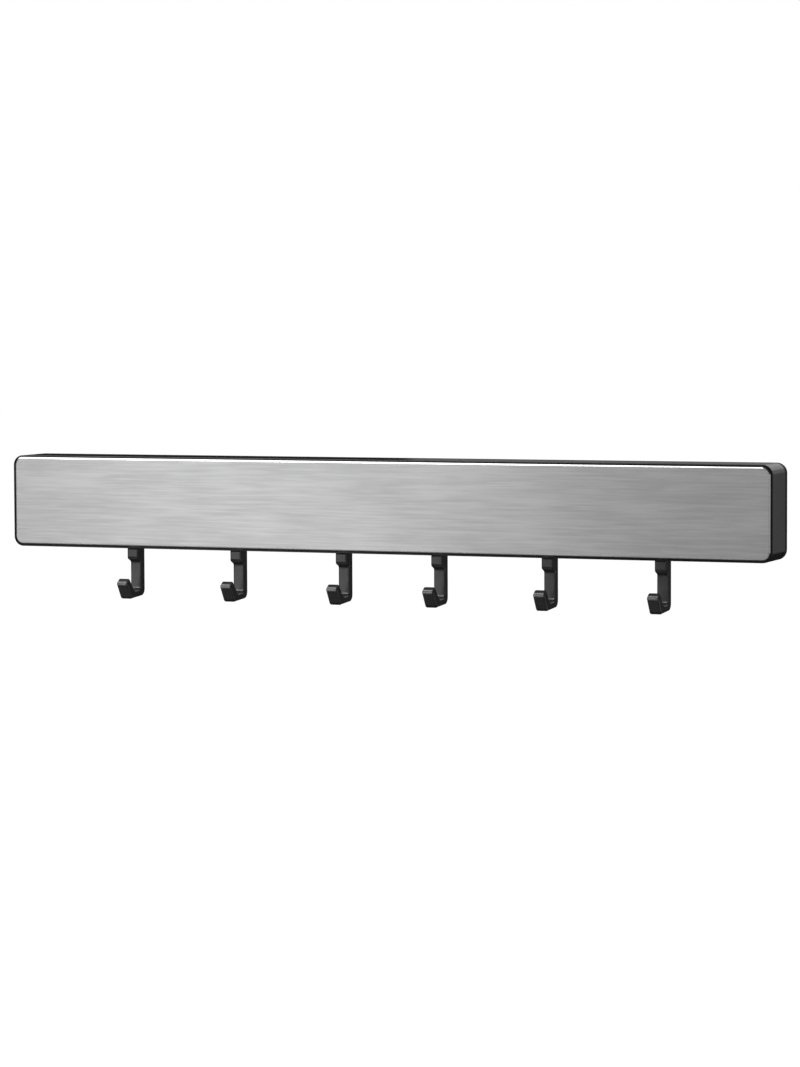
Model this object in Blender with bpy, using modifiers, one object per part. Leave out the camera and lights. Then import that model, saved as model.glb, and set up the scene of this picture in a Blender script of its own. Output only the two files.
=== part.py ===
"""Wall hook rail: a brushed steel face on a moulded housing, with six J hooks that slide in a rail.

X runs along the rail, +Y points into the wall and +Z is up. The wall is the plane y = 0, and the
origin is the middle of the centre mounting pad's back face. The front face looks along -Y.
"""

import math

import bmesh
import bpy
from mathutils import Matrix, Vector

MM = 0.001

# Body: the face plate and the housing behind it
BODY_LENGTH = 400 * MM
BODY_HEIGHT = 46.3 * MM
BODY_DEPTH = 27 * MM  # front of the face plate to the housing's rear rim
CORNER_RADIUS = 5 * MM
WALL_STANDOFF = 0.8 * MM  # rear rim to the wall, taken up by the mounting pads
HOUSING_WALL = 2.0 * MM
REAR_EDGE_RADIUS = 0.8 * MM
FACE_THICKNESS = 1.4 * MM
FACE_INSET = 0.7 * MM  # body's outline to the face plate's edge all round
FACE_PROUD = 0.8 * MM  # face plate's front ahead of the housing's front rim
FACE_EDGE_RADIUS = 1.3 * MM

# Bonding tape between the face plate and the housing
TAPE_THICKNESS = 0.6 * MM
TAPE_HEIGHT = 12 * MM
TAPE_SPACING = 22 * MM  # between the two strips' middles
TAPE_END_MARGIN = 10 * MM

# Hook: one moulding, from the T head in the rail down to the tip
HOOK_WIDTH = 5.9 * MM
HOOK_END_MARGIN = 59.6 * MM  # body end to the outermost hook
HOOK_MIDDLE_GAP = 50.9 * MM  # between the two hooks next to the middle
HOOK_BACK_CLEARANCE = 3.7 * MM  # wall to the back of the shank
BLOCK_DEPTH = 8.5 * MM
BLOCK_HEIGHT = 6.0 * MM
SHANK_THICKNESS = 4.7 * MM
STEP_DROP = 1.7 * MM  # height of the slope from the block back to the shank
SHOULDER_GAP = 0.4 * MM  # housing's underside to the top of the block
SHANK_DROP = 22.1 * MM  # housing's underside to the seat of the hook
FOOT_THICKNESS = 3.4 * MM
FOOT_SLOPE = 0.06  # the seat and the underside fall this much per unit forward
SEAT_DEPTH = 7.1 * MM  # shank to the foot of the tip
TIP_RISE = 6.9 * MM
TIP_LEAN = 6.0 * MM  # how far forward the tip's inner face leans over its rise
TIP_END_DROP = 2.4 * MM  # slope of the tip's end face
TIP_END_DEPTH = 3.6 * MM
FOOT_OVERHANG = 4.4 * MM  # front lower corner ahead of the foot of the tip
HEEL_RADIUS = 3.4 * MM
HOOK_EDGE_RADIUS = 0.7 * MM
HEAD_WIDTH = 9.0 * MM
HEAD_DEPTH = 7.8 * MM
HEAD_HEIGHT = 3.0 * MM
HEAD_EDGE_RADIUS = 0.45 * MM
LIP_CATCH = 1.3 * MM  # how far the head overhangs the slot on each side
NECK_INSET = 0.6 * MM  # neck narrower than the block on each side, along the rail

# Rail: an aluminium extrusion with a T slot and a fixing flange
RAIL_END_MARGIN = 28 * MM  # body end to rail end
RAIL_WALL = 1.0 * MM
RAIL_LIP = 1.2 * MM
RAIL_RECESS = 0.3 * MM  # rail's underside above the housing's
RAIL_FLANGE = 8.7 * MM
STOP_LENGTH = 9 * MM

# Back plate
PLATE_THICKNESS = 1.0 * MM
PLATE_RECESS = 0.5 * MM  # back plate's rear face ahead of the rear rim
KEYHOLE_SPACING = 200 * MM
KEYHOLE_HEAD_RADIUS = 4.25 * MM
KEYHOLE_SLOT_RADIUS = 2.25 * MM
KEYHOLE_RISE = 7 * MM
KEYHOLE_HEIGHT = 2 * MM  # middle of the head hole above the body's middle
PAD_HEIGHT = 28 * MM
PAD_BAY_MARGIN = 16 * MM

# Screws and the posts that they go into
POST_RADIUS = 3.5 * MM
POST_INSET = 12 * MM  # from the body's end
POST_RISE = 9 * MM  # from the body's top and bottom
RAIL_SCREW_INSET = 12 * MM  # from the rail's end
POST_FLOOR = 2.0 * MM  # solid material left beyond a screw's pilot hole
SCREW_RADIUS = 1.45 * MM
SCREW_BITE = 8 * MM
PLATE_SCREW_HEAD_RADIUS = 3.0 * MM
PLATE_SCREW_HEAD_HEIGHT = 0.8 * MM
RAIL_SCREW_HEAD_RADIUS = 2.7 * MM
RAIL_SCREW_HEAD_HEIGHT = 1.9 * MM
RECESS_SHARE = 0.6  # depth of the cross recess as a share of the head's height

# Fits
SEAT_GAP = 0.2 * MM  # between pieces that are fixed to each other
RUNNING_GAP = 0.3 * MM  # between pieces that slide
HEAD_GAP = 0.4 * MM  # T head to the rail's front and back walls
CUT_OVERLAP = 1.0 * MM  # how far a cutter runs past the face that it opens

# Depths, from the wall forwards
REAR_RIM_Y = -WALL_STANDOFF
PLATE_REAR_Y = REAR_RIM_Y - PLATE_RECESS
PLATE_FRONT_Y = PLATE_REAR_Y - PLATE_THICKNESS
FACE_FRONT_Y = REAR_RIM_Y - BODY_DEPTH
FACE_REAR_Y = FACE_FRONT_Y + FACE_THICKNESS
FRONT_RIM_Y = FACE_FRONT_Y + FACE_PROUD
HOUSING_FRONT_Y = FACE_REAR_Y + SEAT_GAP
TAPE_POCKET_Y = HOUSING_FRONT_Y + TAPE_THICKNESS + SEAT_GAP
CAVITY_FRONT_Y = TAPE_POCKET_Y + HOUSING_WALL - TAPE_THICKNESS
SHANK_BACK_Y = -HOOK_BACK_CLEARANCE
SHANK_FRONT_Y = SHANK_BACK_Y - SHANK_THICKNESS
BLOCK_FRONT_Y = SHANK_BACK_Y - BLOCK_DEPTH
HEAD_Y = SHANK_BACK_Y - BLOCK_DEPTH / 2
RAIL_INNER_BACK_Y = HEAD_Y + HEAD_DEPTH / 2 + HEAD_GAP
RAIL_INNER_FRONT_Y = HEAD_Y - HEAD_DEPTH / 2 - HEAD_GAP
RAIL_BACK_Y = RAIL_INNER_BACK_Y + RAIL_WALL
RAIL_FRONT_Y = RAIL_INNER_FRONT_Y - RAIL_WALL
NECK_DEPTH = HEAD_DEPTH - 2 * (LIP_CATCH + HEAD_GAP)
SLOT_DEPTH = HEAD_DEPTH - 2 * LIP_CATCH

# Heights, from the body's middle
BOTTOM_Z = -BODY_HEIGHT / 2
RAIL_BOTTOM_Z = BOTTOM_Z + RAIL_RECESS
LIP_TOP_Z = RAIL_BOTTOM_Z + RAIL_LIP
HEAD_BOTTOM_Z = LIP_TOP_Z + RUNNING_GAP
HEAD_Z = HEAD_BOTTOM_Z + HEAD_HEIGHT / 2
CHANNEL_TOP_Z = HEAD_BOTTOM_Z + HEAD_HEIGHT + RUNNING_GAP
RAIL_TOP_Z = CHANNEL_TOP_Z + RAIL_LIP
FLANGE_TOP_Z = RAIL_TOP_Z + RAIL_FLANGE
RAIL_SCREW_Z = RAIL_TOP_Z + RAIL_FLANGE / 2
POST_Z = BODY_HEIGHT / 2 - POST_RISE

# Places along the rail
RAIL_HALF = BODY_LENGTH / 2 - RAIL_END_MARGIN
POST_X = BODY_LENGTH / 2 - POST_INSET
RAIL_SCREW_X = RAIL_HALF - RAIL_SCREW_INSET
OUTER_HOOK_X = BODY_LENGTH / 2 - HOOK_END_MARGIN
INNER_HOOK_X = HOOK_MIDDLE_GAP / 2
HOOK_PITCH = (OUTER_HOOK_X - INNER_HOOK_X) / 2
KEYHOLE_X = KEYHOLE_SPACING / 2
PAD_X = (KEYHOLE_X + POST_X) / 2
PAD_WIDTH = POST_X - KEYHOLE_X - 2 * (PAD_BAY_MARGIN - SEAT_GAP)

ARC_STEPS = 6  # straight pieces in a quarter turn of an outline
TURN_STEPS = 20  # sides of a turned piece


def clear_scene():
    for item in list(bpy.data.objects):
        bpy.data.objects.remove(item, do_unlink=True)


def new_collection(name):
    collection = bpy.data.collections.new(name)
    bpy.context.scene.collection.children.link(collection)
    return collection


def principled(name, colour, roughness, metallic):
    material = bpy.data.materials.new(name)
    material.use_nodes = True
    shader = material.node_tree.nodes["Principled BSDF"]
    shader.inputs["Base Color"].default_value = (*colour, 1.0)
    shader.inputs["Roughness"].default_value = roughness
    shader.inputs["Metallic"].default_value = metallic
    return material


def place(name, mesh, collection, material=None, location=(0, 0, 0)):
    """A new object with this mesh, smooth over its round faces."""
    item = bpy.data.objects.new(name, mesh)
    item.location = location
    collection.objects.link(item)
    if material:
        mesh.materials.clear()
        mesh.materials.append(material)
    mesh.shade_smooth()
    mesh.set_sharp_from_angle(angle=math.radians(35))
    return item


def add_cutter(name, mesh, location=(0, 0, 0)):
    item = place(name, mesh, cutters, location=location)
    item.hide_render = True
    item.display_type = "WIRE"
    return item


def boolean(item, other, operation):
    modifier = item.modifiers.new(f"{operation.title()} {other.name}", "BOOLEAN")
    modifier.operation = operation
    modifier.object = other
    modifier.solver = "EXACT"


def rounded(corners):
    """An outline's points: each corner is (u, v, radius), and its arc joins the two straight sides."""
    points = []
    for index, (u, v, radius) in enumerate(corners):
        corner = Vector((u, v))
        before = (Vector(corners[index - 1][:2]) - corner).normalized()
        after = (Vector(corners[(index + 1) % len(corners)][:2]) - corner).normalized()
        half_angle = before.angle(after) / 2
        if not radius:
            points.append(corner)
            continue
        centre = corner + (before + after).normalized() * radius / math.sin(half_angle)
        start = corner + before * radius / math.tan(half_angle) - centre
        turn = math.pi - 2 * half_angle
        if before.cross(after) > 0:
            turn = -turn
        steps = max(2, round(ARC_STEPS * abs(turn) / (math.pi / 2)))
        for step in range(steps + 1):
            points.append(centre + Matrix.Rotation(turn * step / steps, 2) @ start)
    return points


def rectangle(width, height, radius):
    corners = ((-1, -1), (1, -1), (1, 1), (-1, 1))
    return rounded([(x * width / 2, z * height / 2, radius) for x, z in corners])


def extruded(loops, thickness, along):
    """A closed mesh: the outline in XZ and its thickness along Y, or the outline in YZ and along X."""
    curve = bpy.data.curves.new("outline", "CURVE")
    curve.dimensions = "2D"
    curve.fill_mode = "BOTH"
    curve.extrude = thickness / 2
    for loop in loops:
        spline = curve.splines.new("POLY")
        spline.points.add(len(loop) - 1)
        for point, (u, v) in zip(spline.points, loop):
            point.co = (u, v, 0, 1)
        spline.use_cyclic_u = True
    drawing = bpy.data.objects.new("outline", curve)
    cutters.objects.link(drawing)
    drawing.rotation_euler = (math.pi / 2, 0, math.pi / 2 if along == "X" else 0)
    mesh = evaluated_mesh(drawing)
    bpy.data.curves.remove(curve)
    shell = bmesh.new()
    shell.from_mesh(mesh)
    flat = math.radians(0.5)
    bmesh.ops.dissolve_limit(shell, angle_limit=flat, verts=shell.verts, edges=shell.edges)
    shell.to_mesh(mesh)
    shell.free()
    return mesh


def evaluated_mesh(item):
    """The object's mesh with its modifiers applied and its place written in, as one welded shell."""
    bpy.context.view_layer.update()
    graph = bpy.context.evaluated_depsgraph_get()
    mesh = bpy.data.meshes.new_from_object(item.evaluated_get(graph), depsgraph=graph)
    mesh.transform(item.matrix_world)
    shell = bmesh.new()
    shell.from_mesh(mesh)
    bmesh.ops.remove_doubles(shell, verts=shell.verts, dist=0.001 * MM)
    bmesh.ops.recalc_face_normals(shell, faces=shell.faces)
    shell.to_mesh(mesh)
    shell.free()
    return mesh


def bevelled(mesh, radius, steps, chosen):
    """Rounds the sharp edges whose two ends both pass the test."""
    shell = bmesh.new()
    shell.from_mesh(mesh)
    sharp = [edge for edge in shell.edges if edge.calc_face_angle(0) > math.radians(35)]
    edges = [edge for edge in sharp if all(chosen(vertex.co) for vertex in edge.verts)]
    bmesh.ops.bevel(
        shell,
        geom=edges,
        offset=radius,
        segments=steps,
        profile=0.5,
        affect="EDGES",
        clamp_overlap=True,
    )
    shell.to_mesh(mesh)
    shell.free()
    return mesh


def hollowed(mesh, inset, floor_y):
    """Sinks the mesh's rear face, drawn in by the inset, down to the floor."""
    shell = bmesh.new()
    shell.from_mesh(mesh)
    rear = max(shell.faces, key=lambda face: face.calc_center_median().y)
    depth = rear.calc_center_median().y - floor_y
    bmesh.ops.inset_region(shell, faces=[rear], thickness=inset, use_even_offset=True)
    floor = bmesh.ops.extrude_discrete_faces(shell, faces=[rear])["faces"][0]
    bmesh.ops.translate(shell, vec=(0, -depth, 0), verts=floor.verts)
    shell.to_mesh(mesh)
    shell.free()
    return mesh


def box(width, depth, height):
    mesh = bpy.data.meshes.new("box")
    shell = bmesh.new()
    bmesh.ops.create_cube(shell, size=1)
    bmesh.ops.scale(shell, vec=(width, depth, height), verts=shell.verts)
    shell.to_mesh(mesh)
    shell.free()
    return mesh


def rods(places, radius, front_y, rear_y):
    """Cylinders along Y, one at each (x, z), in one mesh."""
    mesh = bpy.data.meshes.new("rods")
    shell = bmesh.new()
    for x, z in places:
        middle = Matrix.Translation((x, (front_y + rear_y) / 2, z))
        bmesh.ops.create_cone(
            shell,
            cap_ends=True,
            segments=TURN_STEPS,
            radius1=radius,
            radius2=radius,
            depth=abs(rear_y - front_y),
            matrix=middle @ Matrix.Rotation(math.pi / 2, 4, "X"),
        )
    shell.to_mesh(mesh)
    shell.free()
    return mesh


def turned(profile):
    """A solid of revolution about Y: the profile is (radius, y), from the rear to the front."""
    mesh = bpy.data.meshes.new("profile")
    shell = bmesh.new()
    ends = [shell.verts.new((radius, 0, y)) for radius, y in profile]
    for first, second in zip(ends, ends[1:]):
        shell.edges.new((first, second))
    shell.to_mesh(mesh)
    shell.free()
    item = bpy.data.objects.new("turned", mesh)
    cutters.objects.link(item)
    item.rotation_euler = (-math.pi / 2, 0, 0)
    screw = item.modifiers.new("Turn", "SCREW")
    screw.steps = screw.render_steps = TURN_STEPS
    screw.use_merge_vertices = True
    screw.merge_threshold = 0.01 * MM
    solid = evaluated_mesh(item)
    bpy.data.meshes.remove(mesh)
    return solid


clear_scene()
parts = new_collection("wall_hook_rail")
cutters = new_collection("cutters")

brushed_steel = principled("brushed_steel", (0.62, 0.62, 0.62), 0.3, 1.0)
black_plastic = principled("black_plastic", (0.045, 0.045, 0.047), 0.5, 0.0)
hook_plastic = principled("hook_plastic", (0.06, 0.06, 0.065), 0.45, 0.0)
aluminium = principled("aluminium", (0.7, 0.7, 0.72), 0.4, 1.0)
zinc_sheet = principled("zinc_sheet", (0.55, 0.56, 0.58), 0.45, 1.0)
screw_steel = principled("screw_steel", (0.5, 0.5, 0.5), 0.35, 1.0)
tape_foam = principled("tape_foam", (0.75, 0.75, 0.72), 0.8, 0.0)
pad_foam = principled("pad_foam", (0.12, 0.12, 0.12), 0.9, 0.0)

# Screws: four in the corners and two near the middle for the back plate, and four for the rail
plate_screw_places = []
rail_screw_places = []
for side in (-1, 1):
    plate_screw_places += [(side * POST_X, -POST_Z), (side * POST_X, POST_Z), (side * POST_X / 3, POST_Z)]
    rail_screw_places += [(side * RAIL_SCREW_X, RAIL_SCREW_Z), (side * RAIL_SCREW_X / 3, RAIL_SCREW_Z)]
plate_screw_places.sort()
rail_screw_places.sort()


# Face plate: a flat steel sheet with rounded corners, its front edge rolled over all round
face_size = (BODY_LENGTH - 2 * FACE_INSET, BODY_HEIGHT - 2 * FACE_INSET)
face = extruded([rectangle(*face_size, CORNER_RADIUS - FACE_INSET)], FACE_THICKNESS, "Y")
face.transform(Matrix.Translation((0, (FACE_FRONT_Y + FACE_REAR_Y) / 2, 0)))
bevelled(face, FACE_EDGE_RADIUS, 4, lambda co: co.y < FACE_FRONT_Y + FACE_THICKNESS / 2)
place("face_plate", face, parts, brushed_steel)


# Bonding tape: two long strips in shallow pockets of the housing's front
tape_length = BODY_LENGTH - 2 * TAPE_END_MARGIN
tape = extruded([rectangle(tape_length, TAPE_HEIGHT, 1 * MM)], TAPE_THICKNESS, "Y")
pocket_size = (tape_length + 2 * SEAT_GAP, TAPE_HEIGHT + 2 * SEAT_GAP)
pockets = []
for name, side in (("upper", 1), ("lower", -1)):
    tape_y = HOUSING_FRONT_Y + TAPE_THICKNESS / 2
    place(f"face_tape_{name}", tape.copy(), parts, tape_foam, (0, tape_y, side * TAPE_SPACING / 2))
    pocket_depth = TAPE_POCKET_Y - HOUSING_FRONT_Y
    pocket = box(pocket_size[0], pocket_depth + CUT_OVERLAP, pocket_size[1])
    pocket_y = TAPE_POCKET_Y - (pocket_depth + CUT_OVERLAP) / 2
    pockets.append(add_cutter(f"tape_pocket_{name}", pocket, (0, pocket_y, side * TAPE_SPACING / 2)))


# Housing: a moulded tray, open at the back, with a shallow recess in front that takes the face plate,
# screw posts inside and a notch below for the rail
shell_depth = REAR_RIM_Y - FRONT_RIM_Y
tray = extruded([rectangle(BODY_LENGTH, BODY_HEIGHT, CORNER_RADIUS)], shell_depth, "Y")
tray.transform(Matrix.Translation((0, (REAR_RIM_Y + FRONT_RIM_Y) / 2, 0)))
bevelled(tray, REAR_EDGE_RADIUS, 2, lambda co: co.y > REAR_RIM_Y - shell_depth / 2)
hollowed(tray, HOUSING_WALL - REAR_EDGE_RADIUS, CAVITY_FRONT_Y)
housing = place("housing", tray, parts, black_plastic)

recess_size = (face_size[0] + 2 * SEAT_GAP, face_size[1] + 2 * SEAT_GAP)
recess_radius = CORNER_RADIUS - FACE_INSET + SEAT_GAP
recess_depth = HOUSING_FRONT_Y - FRONT_RIM_Y + CUT_OVERLAP
recess = extruded([rectangle(*recess_size, recess_radius)], recess_depth, "Y")
recess_place = (0, HOUSING_FRONT_Y - recess_depth / 2, 0)
boolean(housing, add_cutter("face_recess", recess, recess_place), "DIFFERENCE")

notch_front_y = RAIL_FRONT_Y - RUNNING_GAP
notch_depth = REAR_RIM_Y + CUT_OVERLAP - notch_front_y
notch_mesh = box(2 * (RAIL_HALF + RUNNING_GAP), notch_depth, HOUSING_WALL + 2 * CUT_OVERLAP)
notch_place = (0, notch_front_y + notch_depth / 2, BOTTOM_Z + HOUSING_WALL / 2)
notch = add_cutter("rail_notch", notch_mesh, notch_place)
boolean(housing, notch, "DIFFERENCE")

rail_post_rear_y = RAIL_FRONT_Y - SEAT_GAP
plate_post_rear_y = PLATE_FRONT_Y - SEAT_GAP
post_foot_y = CAVITY_FRONT_Y - HOUSING_WALL / 3
for name, places, rear_y in (
    ("plate_posts", plate_screw_places, plate_post_rear_y),
    ("rail_posts", rail_screw_places, rail_post_rear_y),
):
    boolean(housing, add_cutter(name, rods(places, POST_RADIUS, post_foot_y, rear_y)), "UNION")

rail_screw_bite = rail_post_rear_y - CAVITY_FRONT_Y - POST_FLOOR
for name, places, rear_y, bite in (
    ("plate_pilot_holes", plate_screw_places, plate_post_rear_y, SCREW_BITE),
    ("rail_pilot_holes", rail_screw_places, rail_post_rear_y, rail_screw_bite),
):
    hole_front_y = rear_y - bite - SEAT_GAP
    holes = rods(places, SCREW_RADIUS + SEAT_GAP, hole_front_y, rear_y + CUT_OVERLAP)
    boolean(housing, add_cutter(name, holes), "DIFFERENCE")
for pocket in pockets:
    boolean(housing, pocket, "DIFFERENCE")


# Rail: the T slot opens downwards, and the flange above it takes the screws
slot_front_y = HEAD_Y - SLOT_DEPTH / 2
slot_back_y = HEAD_Y + SLOT_DEPTH / 2
section = rounded(
    [
        (slot_front_y, RAIL_BOTTOM_Z, 0.2 * MM),
        (RAIL_FRONT_Y, RAIL_BOTTOM_Z, 0.2 * MM),
        (RAIL_FRONT_Y, FLANGE_TOP_Z, 0.3 * MM),
        (RAIL_INNER_FRONT_Y, FLANGE_TOP_Z, 0.3 * MM),
        (RAIL_INNER_FRONT_Y, RAIL_TOP_Z, 0.6 * MM),
        (RAIL_BACK_Y, RAIL_TOP_Z, 0.2 * MM),
        (RAIL_BACK_Y, RAIL_BOTTOM_Z, 0.2 * MM),
        (slot_back_y, RAIL_BOTTOM_Z, 0.2 * MM),
        (slot_back_y, LIP_TOP_Z, 0.2 * MM),
        (RAIL_INNER_BACK_Y, LIP_TOP_Z, 0),
        (RAIL_INNER_BACK_Y, CHANNEL_TOP_Z, 0),
        (RAIL_INNER_FRONT_Y, CHANNEL_TOP_Z, 0),
        (RAIL_INNER_FRONT_Y, LIP_TOP_Z, 0),
        (slot_front_y, LIP_TOP_Z, 0.2 * MM),
    ]
)
rail = place("hook_rail", extruded([section], 2 * RAIL_HALF, "X"), parts, aluminium)
hole_radius = SCREW_RADIUS + RUNNING_GAP
hole_front_y = RAIL_FRONT_Y - CUT_OVERLAP
hole_rear_y = RAIL_INNER_FRONT_Y + CUT_OVERLAP
rail_holes = rods(rail_screw_places, hole_radius, hole_front_y, hole_rear_y)
boolean(rail, add_cutter("rail_screw_holes", rail_holes), "DIFFERENCE")


# End stops: moulded plugs that close the two ends of the T slot
plug_front_y = RAIL_INNER_FRONT_Y + SEAT_GAP
plug_back_y = RAIL_INNER_BACK_Y - SEAT_GAP
plug_section = rounded(
    [
        (slot_front_y + SEAT_GAP, RAIL_BOTTOM_Z, 0.3 * MM),
        (slot_back_y - SEAT_GAP, RAIL_BOTTOM_Z, 0.3 * MM),
        (slot_back_y - SEAT_GAP, LIP_TOP_Z + SEAT_GAP, 0),
        (plug_back_y, LIP_TOP_Z + SEAT_GAP, 0.3 * MM),
        (plug_back_y, CHANNEL_TOP_Z - SEAT_GAP, 0.3 * MM),
        (plug_front_y, CHANNEL_TOP_Z - SEAT_GAP, 0.3 * MM),
        (plug_front_y, LIP_TOP_Z + SEAT_GAP, 0.3 * MM),
        (slot_front_y + SEAT_GAP, LIP_TOP_Z + SEAT_GAP, 0),
    ]
)
plug = extruded([plug_section], STOP_LENGTH, "X")
for name, side in (("left", -1), ("right", 1)):
    stop_x = side * (RAIL_HALF - STOP_LENGTH / 2)
    place(f"end_stop_{name}", plug.copy(), parts, black_plastic, (stop_x, 0, 0))


# Hooks: block, shank, foot and leaning tip from one outline, with a neck and a T head above
def hook_mesh():
    shoulder_z = BOTTOM_Z - SHOULDER_GAP
    seat_z = BOTTOM_Z - SHANK_DROP
    inner_foot = (SHANK_FRONT_Y - SEAT_DEPTH, seat_z - SEAT_DEPTH * FOOT_SLOPE)
    tip_inner = (inner_foot[0] - TIP_LEAN, inner_foot[1] + TIP_RISE)
    tip_front = (tip_inner[0] - TIP_END_DEPTH, tip_inner[1] - TIP_END_DROP)
    foot_front_y = inner_foot[0] - FOOT_OVERHANG
    underside_z = seat_z - FOOT_THICKNESS
    outline = rounded(
        [
            (SHANK_BACK_Y, shoulder_z, 0.9 * MM),
            (BLOCK_FRONT_Y, shoulder_z, 0.9 * MM),
            (BLOCK_FRONT_Y, shoulder_z - BLOCK_HEIGHT, 1.2 * MM),
            (SHANK_FRONT_Y, shoulder_z - BLOCK_HEIGHT - STEP_DROP, 0.8 * MM),
            (SHANK_FRONT_Y, seat_z, 0.8 * MM),
            (*inner_foot, 2.0 * MM),
            (*tip_inner, 1.1 * MM),
            (*tip_front, 1.0 * MM),
            (foot_front_y, underside_z - (SHANK_FRONT_Y - foot_front_y) * FOOT_SLOPE, 1.6 * MM),
            (SHANK_BACK_Y, underside_z + SHANK_THICKNESS * FOOT_SLOPE, HEEL_RADIUS),
        ]
    )
    body = bevelled(extruded([outline], HOOK_WIDTH, "X"), HOOK_EDGE_RADIUS, 2, lambda co: True)
    item = place("hook_body", body, cutters)

    neck_top_z = HEAD_BOTTOM_Z + HEAD_HEIGHT / 2
    neck_foot_z = shoulder_z - BLOCK_HEIGHT / 2
    neck = box(HOOK_WIDTH - 2 * NECK_INSET, NECK_DEPTH, neck_top_z - neck_foot_z)
    neck_z = (neck_top_z + neck_foot_z) / 2
    boolean(item, add_cutter("hook_neck", neck, (0, HEAD_Y, neck_z)), "UNION")
    head = bevelled(box(HEAD_WIDTH, HEAD_DEPTH, HEAD_HEIGHT), HEAD_EDGE_RADIUS, 2, lambda co: True)
    boolean(item, add_cutter("hook_head", head, (0, HEAD_Y, HEAD_Z)), "UNION")
    mesh = evaluated_mesh(item)
    mesh.transform(Matrix.Translation((0, -HEAD_Y, -HEAD_Z)))
    for helper in ("hook_body", "hook_neck", "hook_head"):
        bpy.data.objects.remove(bpy.data.objects[helper], do_unlink=True)
    return mesh


hook = hook_mesh()
hook_places = []
for step in range(3):
    hook_x = INNER_HOOK_X + step * HOOK_PITCH
    hook_places += [-hook_x, hook_x]
for number, x in enumerate(sorted(hook_places), 1):
    place(f"hook_{number}", hook, parts, hook_plastic, (x, HEAD_Y, HEAD_Z))


# Back plate: zinc-plated sheet with two keyholes, recessed in the housing's rear opening
def arc(x, z, radius, start, end, steps):
    points = []
    for step in range(steps + 1):
        angle = start + (end - start) * step / steps
        points.append((x + radius * math.cos(angle), z + radius * math.sin(angle)))
    return points


def keyhole(x, z):
    """A round hole for a screw's head, with a slot above it that the screw's shank drops into."""
    meeting = math.acos(KEYHOLE_SLOT_RADIUS / KEYHOLE_HEAD_RADIUS)
    head = arc(x, z, KEYHOLE_HEAD_RADIUS, meeting, -math.pi - meeting, TURN_STEPS)
    slot = arc(x, z + KEYHOLE_RISE, KEYHOLE_SLOT_RADIUS, math.pi, 0, 2 * ARC_STEPS)
    return head + slot


plate_margin = HOUSING_WALL + RUNNING_GAP
plate_radius = max(CORNER_RADIUS - plate_margin, 0.5 * MM)
plate_width = BODY_LENGTH - 2 * plate_margin
plate_height = BODY_HEIGHT - 2 * plate_margin
plate_outline = rectangle(plate_width, plate_height, plate_radius)
keyholes = [keyhole(side * KEYHOLE_X, KEYHOLE_HEIGHT) for side in (-1, 1)]
plate_mesh = extruded([plate_outline, *keyholes], PLATE_THICKNESS, "Y")
plate_mesh.transform(Matrix.Translation((0, (PLATE_REAR_Y + PLATE_FRONT_Y) / 2, 0)))
plate = place("back_plate", plate_mesh, parts, zinc_sheet)
hole_front_y = PLATE_FRONT_Y - CUT_OVERLAP
hole_rear_y = PLATE_REAR_Y + CUT_OVERLAP
plate_holes = rods(plate_screw_places, hole_radius, hole_front_y, hole_rear_y)
boolean(plate, add_cutter("plate_screw_holes", plate_holes), "DIFFERENCE")


# Mounting pads: self-adhesive foam between the back plate and the wall
pad_thickness = -(PLATE_REAR_Y + SEAT_GAP)
pad = extruded([rectangle(PAD_WIDTH, PAD_HEIGHT, 2 * MM)], pad_thickness, "Y")
for name, x in (("left", -PAD_X), ("centre", 0), ("right", PAD_X)):
    place(f"mounting_pad_{name}", pad.copy(), parts, pad_foam, (x, -pad_thickness / 2, 0))


# Screws: turned, with a pan head that has a cross recess, and a pointed end
def screw_mesh(head_radius, head_height, shank_length):
    """A screw along Y with its head's underside at y = 0 and its point towards -Y."""
    crown = 0.15 * head_height
    profile = [
        (0, head_height),
        (0.6 * head_radius, head_height - 0.3 * crown),
        (0.92 * head_radius, head_height - 1.6 * crown),
        (head_radius, 0.4 * head_height),
        (head_radius, 0),
        (SCREW_RADIUS, 0),
        (SCREW_RADIUS, -shank_length + SCREW_RADIUS),
        (0, -shank_length),
    ]
    item = place("screw_blank", turned(profile), cutters)
    recess_depth = RECESS_SHARE * head_height
    arm = 1.1 * head_radius
    blade = 0.22 * head_radius
    for name, width, height in (("recess_across", arm, blade), ("recess_up", blade, arm)):
        cutter = box(width, recess_depth + CUT_OVERLAP, height)
        cutter_y = head_height - recess_depth + (recess_depth + CUT_OVERLAP) / 2
        boolean(item, add_cutter(name, cutter, (0, cutter_y, 0)), "DIFFERENCE")
    mesh = evaluated_mesh(item)
    for helper in ("screw_blank", "recess_across", "recess_up"):
        bpy.data.objects.remove(bpy.data.objects[helper], do_unlink=True)
    return mesh


plate_screw_shank = SCREW_BITE + PLATE_THICKNESS + SEAT_GAP
plate_screw = screw_mesh(PLATE_SCREW_HEAD_RADIUS, PLATE_SCREW_HEAD_HEIGHT, plate_screw_shank)
for number, (x, z) in enumerate(plate_screw_places, 1):
    screw_y = PLATE_REAR_Y + SEAT_GAP
    place(f"plate_screw_{number}", plate_screw, parts, screw_steel, (x, screw_y, z))

rail_screw_shank = rail_screw_bite + RAIL_WALL + SEAT_GAP
rail_screw = screw_mesh(RAIL_SCREW_HEAD_RADIUS, RAIL_SCREW_HEAD_HEIGHT, rail_screw_shank)
for number, (x, z) in enumerate(rail_screw_places, 1):
    screw_y = RAIL_INNER_FRONT_Y + SEAT_GAP
    place(f"rail_screw_{number}", rail_screw, parts, screw_steel, (x, screw_y, z))
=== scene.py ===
import math

import bmesh
import bpy
from mathutils import Matrix, Vector


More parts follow.
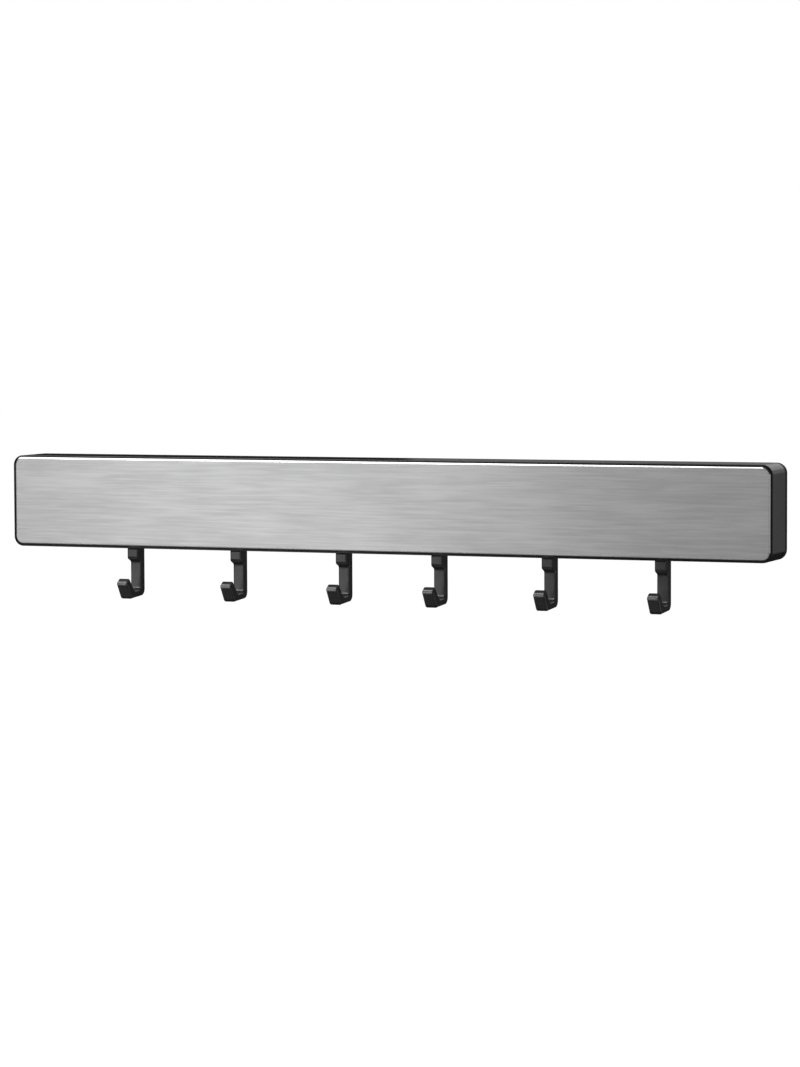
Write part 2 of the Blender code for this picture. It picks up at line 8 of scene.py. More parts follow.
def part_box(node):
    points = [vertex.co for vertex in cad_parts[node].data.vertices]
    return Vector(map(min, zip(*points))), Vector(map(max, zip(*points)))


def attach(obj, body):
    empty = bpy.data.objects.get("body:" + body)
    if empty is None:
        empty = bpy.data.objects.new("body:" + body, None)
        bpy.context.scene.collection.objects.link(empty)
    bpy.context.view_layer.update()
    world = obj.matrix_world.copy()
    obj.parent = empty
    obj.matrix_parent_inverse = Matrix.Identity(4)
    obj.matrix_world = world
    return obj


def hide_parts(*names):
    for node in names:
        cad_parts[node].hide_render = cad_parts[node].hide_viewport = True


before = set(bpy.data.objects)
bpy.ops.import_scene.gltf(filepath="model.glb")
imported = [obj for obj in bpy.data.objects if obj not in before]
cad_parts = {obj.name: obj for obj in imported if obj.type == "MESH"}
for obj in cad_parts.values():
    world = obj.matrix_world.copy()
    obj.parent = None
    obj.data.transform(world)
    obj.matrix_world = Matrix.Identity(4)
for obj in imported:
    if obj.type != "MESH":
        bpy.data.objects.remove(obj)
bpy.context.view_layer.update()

MM = 0.001


# Camera: a long lens a little to the right of the rack and just above it, looking slightly down.
# The rack fills the width of the frame and hangs just above its middle.
camera_data = bpy.data.cameras.new("camera")
camera_data.lens = 116.58
camera_data.sensor_width = 36
camera_data.clip_start = 0.01
camera = bpy.data.objects.new("camera", camera_data)
bpy.context.scene.collection.objects.link(camera)
bpy.context.scene.camera = camera
sight = Vector((-0.36933, 0.92712, -0.06353)).normalized()
upright = Vector((-0.01983, 0.06049, 0.99797))
sideways = sight.cross(upright).normalized()
camera.matrix_world = Matrix((sideways, sideways.cross(sight), -sight)).transposed().to_4x4()
camera.location = (0.63543, -1.59158, 0.09449)


# Studio: a pale floor under a white surround. Softboxes stand above, below, in front, to both sides and
# behind. What the rack mirrors between them is dark, which gives its rounded edges their outline.
scene = bpy.context.scene
scene.view_settings.view_transform = "Standard"
world = bpy.data.worlds.new("surround")
scene.world = world
world.use_nodes = True
world.node_tree.nodes.clear()
surround = world.node_tree.nodes.new("ShaderNodeBackground")
seen = world.node_tree.nodes.new("ShaderNodeBackground")
direct = world.node_tree.nodes.new("ShaderNodeLightPath")
either = world.node_tree.nodes.new("ShaderNodeMixShader")
sky = world.node_tree.nodes.new("ShaderNodeOutputWorld")
surround.inputs["Color"].default_value = (1, 1, 1, 1)
surround.inputs["Strength"].default_value = 0.025
seen.inputs["Color"].default_value = (1, 1, 1, 1)
seen.inputs["Strength"].default_value = 1.0
world.node_tree.links.new(direct.outputs["Is Camera Ray"], either.inputs["Fac"])
world.node_tree.links.new(surround.outputs["Background"], either.inputs[1])
world.node_tree.links.new(seen.outputs["Background"], either.inputs[2])
world.node_tree.links.new(either.outputs["Shader"], sky.inputs["Surface"])


def softbox(name, place, aim, width, height, radiance):
    """A rectangular soft light that looks at its aim; the radiance is what a mirror would show."""
    lamp = bpy.data.lights.new(name, "AREA")
    lamp.shape = "RECTANGLE"
    lamp.size = width
    lamp.size_y = height
    lamp.energy = radiance * math.pi * width * height
    box = bpy.data.objects.new(name, lamp)
    box.visible_camera = False
    box.location = place
    box.rotation_euler = (Vector(aim) - Vector(place)).to_track_quat("-Z", "Y").to_euler()
    bpy.context.scene.collection.objects.link(box)


softbox("overhead", (-0.7, -0.4, 1.1), (0, 0, 0), 1.8, 1.0, 2.4)
softbox("key", (-0.75, -1.0, 0.95), (0, 0, 0), 1.1, 0.8, 4.0)
softbox("front_left", (-0.81, -1.61, 0.0), (0, 0, 0), 0.57, 0.8, 1.3)
softbox("front", (0.15, -2.2, 0.1), (0, 0, 0), 1.3, 0.9, 0.46)
softbox("bounce", (-0.15, -0.75, -0.48), (-0.15, 0, 0), 1.6, 0.4, 0.4)
softbox("right_strip", (1.2, -0.9, 0.0), (0, 0, 0), 1.5, 0.35, 0.5)
softbox("end_card", (0.385, 0.2, 0.025), (0.385, 0, 0.025), 0.28, 0.15, 0.2)
softbox("behind_low", (0.1, 1.6, 0.2), (0.1, 0, 0.2), 1.45, 0.3, 0.22)
softbox("behind_high", (0.25, 1.6, 0.65), (0.2, 0, 0.2), 1.1, 0.6, 0.8)
softbox("back_right", (1.17, 1.13, -0.42), (0, 0, 0), 0.55, 0.32, 1.6)

bpy.ops.mesh.primitive_plane_add(size=40, location=(0, 0, -0.6))
floor = bpy.context.object
floor.name = "floor"
floor.visible_diffuse = False
floor.visible_glossy = False
pale = bpy.data.materials.new("pale_floor")
pale.use_nodes = True
paint = pale.node_tree.nodes["Principled BSDF"]
paint.inputs["Base Color"].default_value = (0.9, 0.9, 0.9, 1)
paint.inputs["Roughness"].default_value = 0.9
paint.inputs["Emission Color"].default_value = (1, 1, 1, 1)
paint.inputs["Emission Strength"].default_value = 1.0
floor.data.materials.append(pale)


# Face plate: sheet steel with rounded corners, its front edge rolled over all round, and the face
# brushed along its length. It is bonded into the recess in the housing's front.
class Wire:
    """One output of a material's nodes. Arithmetic on it adds the Math nodes that work it out."""

    def __init__(self, tree, socket=None):
        self.tree = tree
        self.socket = socket

    def node(self, kind, settings=None, inputs=None, output=0):
        """A new node: its settings come first, then the values or links of its sockets."""
        made = self.tree.nodes.new(kind)
        for name, value in (settings or {}).items():
            setattr(made, name, value)
        for name, value in (inputs or {}).items():
            if isinstance(value, Wire):
                self.tree.links.new(value.socket, made.inputs[name])
            else:
                made.inputs[name].default_value = value
        return Wire(self.tree, made.outputs[output] if made.outputs else None)

    def maths(self, operation, first, second):
        return self.node("ShaderNodeMath", {"operation": operation}, {0: first, 1: second})

    def __add__(self, other):
        return self.maths("ADD", self, other)

    def __radd__(self, other):
        return self.maths("ADD", other, self)

    def __sub__(self, other):
        return self.maths("SUBTRACT", self, other)

    def __rsub__(self, other):
        return self.maths("SUBTRACT", other, self)

    def __mul__(self, other):
        return self.maths("MULTIPLY", self, other)

    def __rmul__(self, other):
        return self.maths("MULTIPLY", other, self)

    def along(self, axis):
        """This place's coordinate along one axis: 0, 1 or 2."""
        return self.node("ShaderNodeSeparateXYZ", {}, {0: self}, output=axis)

    def stretched(self, x, y, z):
        """This place in the piece, scaled along each axis, so that a pattern on it is drawn out."""
        settings = {"operation": "MULTIPLY"}
        return self.node("ShaderNodeVectorMath", settings, {0: self, 1: (x, y, z)})

    def grain(self, size, detail=2.0, roughness=0.5):
        """Soft noise from 0 to 1 whose lumps are about this many millimetres across."""
        inputs = {"Vector": self, "Scale": 1 / size, "Detail": detail, "Roughness": roughness}
        return self.node("ShaderNodeTexNoise", {}, inputs)

    def between(self, low, high):
        """0 below low, 1 above high, and a smooth climb between them."""
        settings = {"interpolation_type": "SMOOTHSTEP"}
        inputs = {"Value": self, "From Min": low, "From Max": high}
        return self.node("ShaderNodeMapRange", settings, inputs)

    def tint(self, dark, light):
        """A colour between two, by this value."""
        settings = {"data_type": "RGBA"}
        return self.node("ShaderNodeMix", settings, {0: self, 6: (*dark, 1), 7: (*light, 1)}, output=2)


def open_finish(name):
    """An empty material, and the piece's own coordinates in millimetres to draw its pattern on."""
    finish = bpy.data.materials.new(name)
    finish.use_nodes = True
    finish.node_tree.nodes.clear()
    own_place = Wire(finish.node_tree).node("ShaderNodeTexCoord", output="Object")
    return finish, own_place.stretched(1 / MM, 1 / MM, 1 / MM)


def close_finish(finish, colour, roughness, height, depth, metallic=0.0, specular=0.5):
    """Wires the surface: height is a relief of 0 to 1 that stands depth metres proud."""
    start = Wire(finish.node_tree)
    relief = start.node("ShaderNodeBump", {}, {"Height": height, "Distance": depth, "Strength": 1.0})
    inputs = {"Base Color": colour, "Roughness": roughness, "Metallic": metallic, "Normal": relief}
    inputs["Specular IOR Level"] = specular
    shader = start.node("ShaderNodeBsdfPrincipled", {}, inputs)
    start.node("ShaderNodeOutputMaterial", {}, {"Surface": shader})


def brushed_steel(face_y):
    """Satin steel brushed along the rail. The rolled edge behind the face's plane is polished."""
    finish, place = open_finish("brushed_steel")
    on_face = 1 - place.along(1).between(face_y / MM + 0.02, face_y / MM + 0.3)
    strokes = place.stretched(0.04, 0.5, 1.0).grain(0.9, 2.0, 0.5)
    hairs = place.stretched(0.012, 1.0, 1.0).grain(0.16, 2.0, 0.6)
    clouds = place.stretched(0.14, 1.0, 0.5).grain(5.0, 2.0)
    streaks = 0.55 * strokes + 0.1 * hairs + 0.35 * clouds
    shade = streaks.between(0.32, 0.68) * on_face + 0.9 * (1 - on_face)
    colour = shade.tint((0.565, 0.565, 0.568), (0.70, 0.70, 0.703))
    roughness = (0.25 + 0.1 * hairs) * on_face + 0.14 * (1 - on_face)
    relief = (0.6 * strokes + 0.4 * hairs) * on_face
    close_finish(finish, colour, roughness, relief, 0.004 * MM, metallic=1.0)
    return finish


def only(item):
    """Leaves this piece as the only one selected."""
    bpy.ops.object.select_all(action="DESELECT")
    item.select_set(True)
    bpy.context.view_layer.objects.active = item


def block(name, low, high):
    """A box between two corners, with its place in its mesh."""
    low = Vector(low)
    high = Vector(high)
    bpy.ops.mesh.primitive_cube_add(size=1, location=(low + high) / 2, scale=high - low)
    bpy.ops.object.transform_apply(location=True, rotation=True, scale=True)
    bpy.context.object.name = name
    return bpy.context.object


def pick(item, kind, test):
    """In edit mode, selects only the faces or edges that pass the test."""
    only(item)
    bpy.ops.object.mode_set(mode="EDIT")
    bpy.ops.mesh.select_all(action="DESELECT")
    bpy.ops.mesh.select_mode(type={"faces": "FACE", "edges": "EDGE"}[kind])
    shape = bmesh.from_edit_mesh(item.data)
    for element in getattr(shape, kind):
        element.select_set(test(element))
    bmesh.update_edit_mesh(item.data)


def round_edges(item, test, radius, steps):
    pick(item, "edges", test)
    bpy.ops.mesh.bevel(offset=radius, segments=steps, profile=0.5, affect="EDGES")
    bpy.ops.object.mode_set(mode="OBJECT")


def runs_along(edge, axis):
    start, end = (vertex.co for vertex in edge.verts)
    return abs((end - start).normalized()[axis]) > 0.99


def at_depth(edge, y):
    return all(abs(vertex.co.y - y) < 0.01 * MM for vertex in edge.verts)


def smooth(item, angle=35):
    """Shades round surfaces smooth and keeps flat ones flat."""
    only(item)
    bpy.ops.object.shade_smooth_by_angle(angle=math.radians(angle))
    bpy.ops.object.modifier_add(type="WEIGHTED_NORMAL")
    item.modifiers[-1].keep_sharp = True
    bpy.ops.object.modifier_apply(modifier=item.modifiers[-1].name)


def dress(item, finish, slot, body, *nodes):
    """Gives a finished piece its material and its body, and hides the nodes it stands for. The slot is not
    used.
    """
    item.data.materials.clear()
    item.data.materials.append(finish)
    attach(item, body)
    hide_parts(*nodes)


def rounded_slab(name, low, high, corner_radius, steps=16):
    """A flat plate whose four corners, seen from the front, are rounded."""
    plate = block(name, low, high)
    round_edges(plate, lambda edge: runs_along(edge, 1), corner_radius, steps)
    return plate


def cut(item, tool, operation="DIFFERENCE"):
    """Cuts a tool out of a piece, or joins it on, and clears the tool away."""
    only(item)
    bpy.ops.object.modifier_add(type="BOOLEAN")
    item.modifiers[-1].operation = operation
    item.modifiers[-1].solver = "EXACT"
    item.modifiers[-1].object = tool
    bpy.ops.object.modifier_apply(modifier=item.modifiers[-1].name)
    bpy.data.objects.remove(tool, do_unlink=True)


FACE_CORNER_RADIUS = 4.3 * MM
ROLLED_EDGE_RADIUS = 1.3 * MM

face_low, face_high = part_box("face_plate")
face = rounded_slab("face_sheet", face_low, face_high, FACE_CORNER_RADIUS)
round_edges(face, lambda edge: at_depth(edge, face_low.y), ROLLED_EDGE_RADIUS, 12)
round_edges(face, lambda edge: at_depth(edge, face_high.y), 0.1 * MM, 2)
smooth(face)
dress(face, brushed_steel(face_low.y), "brushed_steel", "rack", "face_plate")


# Bonding tape: two strips of white acrylic tape in the pockets behind the face plate. They are die-cut
# with round corners and pressed flat, and their front and back edges are rounded a little.
def acrylic_tape():
    finish, place = open_finish("acrylic_tape")
    pores = place.grain(0.4, 3.0)
    colour = pores.tint((0.62, 0.62, 0.60), (0.80, 0.80, 0.77))
    close_finish(finish, colour, 0.75 + 0.15 * pores, pores, 0.02 * MM)
    return finish


white_tape = acrylic_tape()
for tape_name in ("face_tape_upper", "face_tape_lower"):
    tape_low, tape_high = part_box(tape_name)
    strip = rounded_slab(f"{tape_name}_strip", tape_low, tape_high, 1 * MM, 6)
    round_edges(strip, lambda edge: not runs_along(edge, 1), 0.2 * MM, 3)
    smooth(strip)
    dress(strip, white_tape, "tape_foam", "rack", tape_name)


# Housing: a black moulded tray, open at the back, with screw posts inside and a notch in its lower
# wall for the rail. A shallow recess in front takes the face plate, and its rim shows all round it.
def black_moulding(name, dark, light, rough, specular=0.5, matt_y=None):
    """Moulded plastic: fine spark-eroded grain and a slightly uneven gloss, matt behind a depth."""
    finish, place = open_finish(name)
    sparks = place.grain(0.22, 3.0, 0.6)
    flow = place.grain(14.0, 2.0)
    colour = (0.6 * flow + 0.4 * sparks).between(0.25, 0.8).tint(dark, light)
    roughness = rough + 0.06 * flow + 0.06 * sparks
    if matt_y is not None:
        roughness = roughness + 0.45 * place.along(1).between(matt_y / MM - 0.15, matt_y / MM + 0.15)
    close_finish(finish, colour, roughness, sparks, 0.006 * MM, specular=specular)
    return finish


def rod(name, x, z, radius, front_y, rear_y, sides=32):
    """A round bar that points at the wall."""
    place = (x, (front_y + rear_y) / 2, z)
    turn = (math.radians(90), 0, 0)
    depth = rear_y - front_y
    bpy.ops.mesh.primitive_cylinder_add(
        vertices=sides, radius=radius, depth=depth, location=place, rotation=turn
    )
    bpy.ops.object.transform_apply(location=True, rotation=True, scale=True)
    bpy.context.object.name = name
    return bpy.context.object


HOUSING_CORNER_RADIUS = 5 * MM
HOUSING_FRONT_RADIUS = 0.25 * MM
HOUSING_REAR_RADIUS = 0.8 * MM
HOUSING_WALL = 2.0 * MM
HOUSING_FLOOR = 2.2 * MM
SCREW_POST_RADIUS = 3.5 * MM
PILOT_RADIUS = 1.65 * MM
MATT_BAND_DEPTH = 4.4 * MM
SEAT_GAP = 0.2 * MM
NOTCH_GAP = 0.3 * MM
POST_ROOT = 0.6 * MM

tray_low, tray_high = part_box("housing")
tray = rounded_slab("housing_tray", tray_low, tray_high, HOUSING_CORNER_RADIUS)
round_edges(tray, lambda edge: at_depth(edge, tray_low.y), HOUSING_FRONT_RADIUS, 3)
round_edges(tray, lambda edge: at_depth(edge, tray_high.y), HOUSING_REAR_RADIUS, 5)
pick(tray, "faces", lambda side: side.normal.y > 0.99 and side.calc_center_median().y > tray_high.y - MM)
bpy.ops.mesh.inset(thickness=HOUSING_WALL - HOUSING_REAR_RADIUS)
seat_y = face_high.y + SEAT_GAP
cavity_depth = tray_high.y - seat_y - HOUSING_FLOOR
bpy.ops.mesh.extrude_region_move(TRANSFORM_OT_translate={"value": (0, -cavity_depth, 0)})
bpy.ops.object.mode_set(mode="OBJECT")

recess_low = (face_low.x - SEAT_GAP, tray_low.y - MM, face_low.z - SEAT_GAP)
recess_high = (face_high.x + SEAT_GAP, seat_y, face_high.z + SEAT_GAP)
cut(tray, rounded_slab("face_recess", recess_low, recess_high, FACE_CORNER_RADIUS + SEAT_GAP))
rail_low, rail_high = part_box("hook_rail")
notch_low = (rail_low.x - NOTCH_GAP, rail_low.y - NOTCH_GAP, tray_low.z - MM)
notch_high = (rail_high.x + NOTCH_GAP, tray_high.y + MM, tray_low.z + HOUSING_WALL + MM)
cut(tray, block("rail_notch", notch_low, notch_high))
for tape_name in ("face_tape_upper", "face_tape_lower"):
    tape_low, tape_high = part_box(tape_name)
    pocket_low = (tape_low.x - SEAT_GAP, tray_low.y - MM, tape_low.z - SEAT_GAP)
    pocket_high = (tape_high.x + SEAT_GAP, tape_high.y + SEAT_GAP, tape_high.z + SEAT_GAP)
    cut(tray, block("tape_pocket", pocket_low, pocket_high))
for kind, count in (("plate", 6), ("rail", 4)):
    for number in range(1, count + 1):
        screw_low, screw_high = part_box(f"{kind}_screw_{number}")
        middle = (screw_low + screw_high) / 2
        bearer_low, bearer_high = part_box("back_plate" if kind == "plate" else "hook_rail")
        post_rear_y = bearer_low.y - SEAT_GAP
        root_y = seat_y + HOUSING_FLOOR - POST_ROOT
        post = rod("screw_post", middle.x, middle.z, SCREW_POST_RADIUS, root_y, post_rear_y)
        cut(tray, post, "UNION")
        pilot_front_y = screw_low.y - SEAT_GAP
        cut(tray, rod("pilot_hole", middle.x, middle.z, PILOT_RADIUS, pilot_front_y, post_rear_y + MM, 24))
smooth(tray)
matt_from_y = tray_high.y - MATT_BAND_DEPTH
black_plastic = black_moulding(
    "black_plastic", (0.004, 0.004, 0.0042), (0.008, 0.008, 0.0082), 0.14, matt_y=matt_from_y
)
dress(tray, black_plastic, "black_plastic", "rack", "housing")


# Rail: an aluminium extrusion with a T slot and a fixing flange, closed by a black stop at each end.
# Its section is the node's own; it gets the drawn lines of a mill finish.
def mill_aluminium():
    finish, place = open_finish("mill_aluminium")
    lines = place.stretched(0.008, 1.0, 1.0).grain(0.3, 3.0, 0.6)
    colour = lines.between(0.3, 0.7).tint((0.60, 0.60, 0.62), (0.76, 0.76, 0.78))
    close_finish(finish, colour, 0.34 + 0.14 * lines, lines, 0.008 * MM, metallic=1.0)
    return finish


def repaint(finish, *nodes):
    """Gives nodes whose shape is already right their real material."""
    for node in nodes:
        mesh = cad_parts[node].data
        mesh.materials.clear()
        mesh.materials.append(finish)


repaint(mill_aluminium(), "hook_rail")
stop_plastic = black_moulding("stop_plastic", (0.02, 0.02, 0.021), (0.03, 0.03, 0.031), 0.45)
repaint(stop_plastic, "end_stop_left", "end_stop_right")


# Hooks: six black mouldings. Each is a block under the body, a flat shank, a foot and a tip that
# leans forward, with a neck and a T head above that slide in the rail.
HOOK_WIDTH = 5.9 * MM
HOOK_EDGE_RADIUS = 0.7 * MM
HOOK_NECK_WIDTH = 4.7 * MM
HOOK_NECK_DEPTH = 4.4 * MM
HOOK_HEAD_HEIGHT = 3.0 * MM
HOOK_HEAD_DEPTH = 7.8 * MM
HOOK_HEAD_RADIUS = 0.45 * MM
HOOK_HEAD_SETBACK = 4.25 * MM
SHANK_BACK_Y = -3.7 * MM
SHANK_FRONT_Y = -8.4 * MM
BLOCK_FRONT_Y = -12.2 * MM
SHOULDER_Z = -23.55 * MM
BLOCK_FOOT_Z = -29.55 * MM
STEP_FOOT_Z = -31.25 * MM
HEEL = (SHANK_BACK_Y, -48.37 * MM)
SEAT = (SHANK_FRONT_Y, -45.25 * MM)
FOOT_FRONT = (-19.9 * MM, -49.34 * MM)
INNER_FOOT = (-15.5 * MM, -45.68 * MM)
TIP_FRONT = (-25.1 * MM, -41.18 * MM)
TIP_INNER = (-21.5 * MM, -38.78 * MM)


def near(vertex, y, z):
    return abs(vertex.co.y - y) < 0.02 * MM and abs(vertex.co.z - z) < 0.02 * MM


def extrude_to(item, before, after):
    """Extrudes the end face of the moulding from its two old corners, in (y, z), to two new ones."""
    only(item)
    bpy.ops.object.mode_set(mode="EDIT")
    bpy.ops.mesh.select_mode(type="FACE")
    bpy.ops.mesh.select_all(action="DESELECT")
    shape = bmesh.from_edit_mesh(item.data)
    for side in shape.faces:
        side.select_set(all(near(vertex, *before[0]) or near(vertex, *before[1]) for vertex in side.verts))
    bmesh.update_edit_mesh(item.data)
    bpy.ops.mesh.extrude_region_move(TRANSFORM_OT_translate={"value": (0, 0, 0)})
    bpy.ops.mesh.select_mode(type="VERT")
    shape = bmesh.from_edit_mesh(item.data)
    ends = [vertex for vertex in shape.verts if vertex.select]
    for old, new in zip(before, after):
        for vertex in shape.verts:
            vertex.select_set(vertex in ends and near(vertex, *old))
        bmesh.update_edit_mesh(item.data)
        bpy.ops.transform.translate(value=(0, new[0] - old[0], new[1] - old[1]))
    bpy.ops.object.mode_set(mode="OBJECT")


head_low, head_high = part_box("hook_1")
hook_half = HOOK_WIDTH / 2
start_low = (-hook_half, BLOCK_FRONT_Y, BLOCK_FOOT_Z)
start_high = (hook_half, SHANK_BACK_Y, SHOULDER_Z)
moulding = block("hook_moulding_1", start_low, start_high)
corners = [(SHANK_BACK_Y, BLOCK_FOOT_Z), (BLOCK_FRONT_Y, BLOCK_FOOT_Z)]
for target in (
    [(SHANK_BACK_Y, STEP_FOOT_Z), (SHANK_FRONT_Y, STEP_FOOT_Z)],
    [HEEL, SEAT],
    [FOOT_FRONT, INNER_FOOT],
    [TIP_FRONT, TIP_INNER],
):
    extrude_to(moulding, corners, target)
    corners = target
pick(moulding, "faces", lambda side: True)
bpy.ops.mesh.dissolve_limited(angle_limit=math.radians(0.5))
bpy.ops.object.mode_set(mode="OBJECT")
for (corner_y, corner_z), offset, steps in (
    ((SHANK_BACK_Y, SHOULDER_Z), 0.9 * MM, 5),
    ((BLOCK_FRONT_Y, SHOULDER_Z), 0.9 * MM, 5),
    ((BLOCK_FRONT_Y, BLOCK_FOOT_Z), 0.8 * MM, 6),
    ((SHANK_FRONT_Y, STEP_FOOT_Z), 0.6 * MM, 4),
    (SEAT, 1.5 * MM, 8),
    (INNER_FOOT, 1.3 * MM, 8),
    (TIP_INNER, 1.1 * MM, 8),
    (TIP_FRONT, 1.1 * MM, 8),
    (FOOT_FRONT, 1.0 * MM, 8),
    (HEEL, 3.2 * MM, 12),
):
    round_edges(moulding, lambda edge: all(near(v, corner_y, corner_z) for v in edge.verts), offset, steps)
round_edges(
    moulding,
    lambda edge: all(abs(abs(vertex.co.x) - hook_half) < 0.01 * MM for vertex in edge.verts),
    HOOK_EDGE_RADIUS,
    5,
)
head_y = SHANK_BACK_Y - HOOK_HEAD_SETBACK
neck_low = (-HOOK_NECK_WIDTH / 2, head_y - HOOK_NECK_DEPTH / 2, SHOULDER_Z - 2 * MM)
neck_high = (HOOK_NECK_WIDTH / 2, head_y + HOOK_NECK_DEPTH / 2, head_high.z - 1.5 * MM)
cut(moulding, block("hook_neck", neck_low, neck_high), "UNION")
head_half = (head_high.x - head_low.x) / 2
crown_low = (-head_half, head_y - HOOK_HEAD_DEPTH / 2, head_high.z - HOOK_HEAD_HEIGHT)
crown_high = (head_half, head_y + HOOK_HEAD_DEPTH / 2, head_high.z)
crown = block("hook_head", crown_low, crown_high)
round_edges(crown, lambda edge: True, HOOK_HEAD_RADIUS, 3)
cut(moulding, crown, "UNION")
smooth(moulding)
hook_plastic = black_moulding(
    "hook_plastic", (0.058, 0.058, 0.06), (0.084, 0.084, 0.087), 0.22, specular=0.95
)


def slid_copy(item, name, shift):
    """Another of the same piece, with its own mesh, moved from the first."""
    only(item)
    bpy.ops.object.duplicate()
    bpy.ops.transform.translate(value=shift)
    bpy.ops.object.transform_apply(location=True, rotation=False, scale=False)
    bpy.context.object.name = name
    return bpy.context.object


first_x = (head_low.x + head_high.x) / 2
only(moulding)
bpy.ops.transform.translate(value=(first_x, 0, 0))
bpy.ops.object.transform_apply(location=True, rotation=False, scale=False)
hooks = [moulding]
for number in range(2, 7):
    low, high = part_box(f"hook_{number}")
    shift = ((low.x + high.x) / 2 - first_x, 0, 0)
    hooks.append(slid_copy(moulding, f"hook_moulding_{number}", shift))
for number, hook in enumerate(hooks, 1):
    dress(hook, hook_plastic, "hook_plastic", f"hook_{number}", f"hook_{number}")


# Back plate: zinc-plated sheet steel with two keyholes for wall screws, its edges broken by
# tumbling. Six screws hold it in the rear of the housing.
def zinc_plating():
    finish, place = open_finish("zinc_plating")
    lines = place.stretched(0.03, 1.0, 1.0).grain(0.4, 3.0, 0.6)
    blooms = place.grain(9.0, 3.0, 0.6)
    mottle = (0.5 * lines + 0.5 * blooms).between(0.25, 0.75)
    colour = mottle.tint((0.46, 0.48, 0.51), (0.62, 0.63, 0.65))
    relief = 0.7 * lines + 0.3 * blooms
    close_finish(finish, colour, 0.34 + 0.2 * blooms, relief, 0.01 * MM, metallic=1.0)
    return finish


PLATE_CORNER_RADIUS = 2.7 * MM
KEYHOLE_X = 100 * MM
KEYHOLE_HEAD_Z = 2 * MM
KEYHOLE_NECK_Z = 9 * MM
KEYHOLE_HEAD_RADIUS = 4.25 * MM
KEYHOLE_NECK_RADIUS = 2.25 * MM

plate_low, plate_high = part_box("back_plate")
front_y = plate_low.y - MM
rear_y = plate_high.y + MM
sheet = rounded_slab("back_sheet", plate_low, plate_high, PLATE_CORNER_RADIUS, 8)
for side in (-1, 1):
    x = side * KEYHOLE_X
    cut(sheet, rod("keyhole_head", x, KEYHOLE_HEAD_Z, KEYHOLE_HEAD_RADIUS, front_y, rear_y, 48))
    cut(sheet, rod("keyhole_neck", x, KEYHOLE_NECK_Z, KEYHOLE_NECK_RADIUS, front_y, rear_y, 32))
    slot_low = (x - KEYHOLE_NECK_RADIUS, front_y, KEYHOLE_HEAD_Z)
    cut(sheet, block("keyhole_slot", slot_low, (x + KEYHOLE_NECK_RADIUS, rear_y, KEYHOLE_NECK_Z)))
for number in range(1, 7):
    low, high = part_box(f"plate_screw_{number}")
    middle = (low + high) / 2
    cut(sheet, rod("screw_hole", middle.x, middle.z, PILOT_RADIUS, front_y, rear_y, 24))
only(sheet)
bpy.ops.object.modifier_add(type="BEVEL")
sheet.modifiers[-1].width = 0.12 * MM
sheet.modifiers[-1].segments = 2
sheet.modifiers[-1].limit_method = "ANGLE"
sheet.modifiers[-1].angle_limit = math.radians(50)
bpy.ops.object.modifier_apply(modifier=sheet.modifiers[-1].name)
smooth(sheet)
dress(sheet, zinc_plating(), "zinc_sheet", "rack", "back_plate")


# Mounting pads: black foam with a film of adhesive on both faces, die-cut with round corners. They
# lie between the back plate and the wall, and their sides draw in a little at mid-thickness.
def pad_foam():
    finish, place = open_finish("pad_foam")
    cells = place.node("ShaderNodeTexVoronoi", {}, {"Vector": place, "Scale": 2.2}).between(0.0, 0.9)
    press = place.grain(5.0, 2.0)
    colour = (0.7 * cells + 0.3 * press).tint((0.018, 0.018, 0.018), (0.06, 0.06, 0.06))
    close_finish(finish, colour, 0.7 + 0.2 * cells, cells, 0.05 * MM)
    return finish


PAD_CORNER_RADIUS = 2 * MM
PAD_WAIST = 0.25 * MM

foam = pad_foam()
for side in ("left", "centre", "right"):
    low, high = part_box(f"mounting_pad_{side}")
    pad = rounded_slab(f"foam_pad_{side}", low, high, PAD_CORNER_RADIUS, 8)
    round_edges(pad, lambda edge: not runs_along(edge, 1), 0.12 * MM, 2)
    pick(pad, "edges", lambda edge: runs_along(edge, 1) and edge.calc_length() > 0.5 * MM)
    bpy.ops.mesh.subdivide(number_cuts=3)
    middle = (low + high) / 2
    for share, reach in ((0.0, 1.0), (0.25, 0.7), (-0.25, 0.7)):
        bpy.ops.mesh.select_mode(type="VERT")
        bpy.ops.mesh.select_all(action="DESELECT")
        shape = bmesh.from_edit_mesh(pad.data)
        ring_y = middle.y + share * (high.y - low.y - 0.24 * MM)
        for vertex in shape.verts:
            vertex.select_set(abs(vertex.co.y - ring_y) < 0.03 * MM)
        bmesh.update_edit_mesh(pad.data)
        narrow = 1 - 2 * PAD_WAIST * reach / (high.x - low.x)
        short = 1 - 2 * PAD_WAIST * reach / (high.z - low.z)
        bpy.ops.transform.resize(value=(narrow, 1, short), center_override=middle)
    bpy.ops.object.mode_set(mode="OBJECT")
    smooth(pad, 50)
    dress(pad, foam, "pad_foam", "rack", f"mounting_pad_{side}")


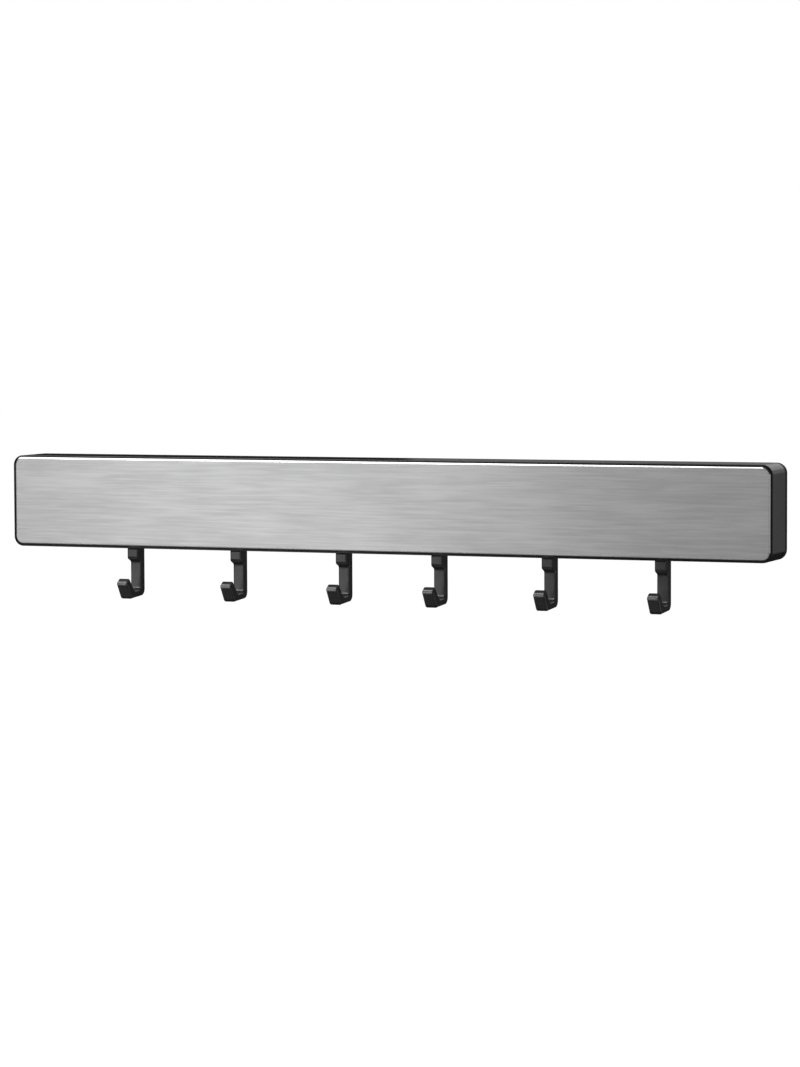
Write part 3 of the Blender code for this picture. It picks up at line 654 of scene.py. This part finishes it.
# Screws: zinc-plated pan heads with a cross recess. Six hold the back plate, and four hold the
# rail's flange to the housing's posts.
def screw_zinc():
    finish, place = open_finish("screw_zinc")
    specks = place.grain(0.35, 3.0)
    colour = specks.tint((0.48, 0.49, 0.50), (0.66, 0.66, 0.66))
    close_finish(finish, colour, 0.28 + 0.14 * specks, specks, 0.006 * MM, metallic=1.0)
    return finish


SCREW_SHANK_RADIUS = 1.45 * MM
SCREW_TIP_LENGTH = 1.2 * MM
RECESS_ARM = 1.5 * MM
RECESS_HALF_WIDTH = 0.3 * MM

bright_zinc = screw_zinc()
for kind, count, head_radius, head_height in (
    ("plate", 6, 3.0 * MM, 0.8 * MM),
    ("rail", 4, 2.7 * MM, 1.9 * MM),
):
    low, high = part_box(f"{kind}_screw_1")
    first = (low + high) / 2
    head_front_y = high.y - head_height
    screw = rod(f"{kind}_screw_zinc_1", first.x, first.z, head_radius, head_front_y, high.y, 48)
    dome = min(0.5 * MM, head_height / 2)
    round_edges(screw, lambda edge: at_depth(edge, high.y), dome, 6)
    pick(screw, "faces", lambda side: side.normal.y < -0.99)
    bpy.ops.mesh.inset(thickness=head_radius - SCREW_SHANK_RADIUS)
    shank_length = head_front_y - low.y
    straight_length = shank_length - SCREW_TIP_LENGTH
    bpy.ops.mesh.extrude_region_move(TRANSFORM_OT_translate={"value": (0, -straight_length, 0)})
    bpy.ops.mesh.extrude_region_move(TRANSFORM_OT_translate={"value": (0, -SCREW_TIP_LENGTH, 0)})
    bpy.ops.transform.resize(value=(0.45, 1, 0.45), center_override=(first.x, low.y, first.z))
    bpy.ops.object.mode_set(mode="OBJECT")
    recess_depth = 0.6 * head_height
    for arm in ((RECESS_ARM, RECESS_HALF_WIDTH), (RECESS_HALF_WIDTH, RECESS_ARM)):
        slot_low = (first.x - arm[0], high.y - recess_depth, first.z - arm[1])
        slot_high = (first.x + arm[0], high.y + MM, first.z + arm[1])
        cut(screw, block("cross_recess", slot_low, slot_high))
    smooth(screw, 30)
    screws = [screw]
    for number in range(2, count + 1):
        low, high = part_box(f"{kind}_screw_{number}")
        shift = (low + high) / 2 - first
        screws.append(slid_copy(screw, f"{kind}_screw_zinc_{number}", shift))
    for number, item in enumerate(screws, 1):
        dress(item, bright_zinc, "screw_steel", "rack", f"{kind}_screw_{number}")
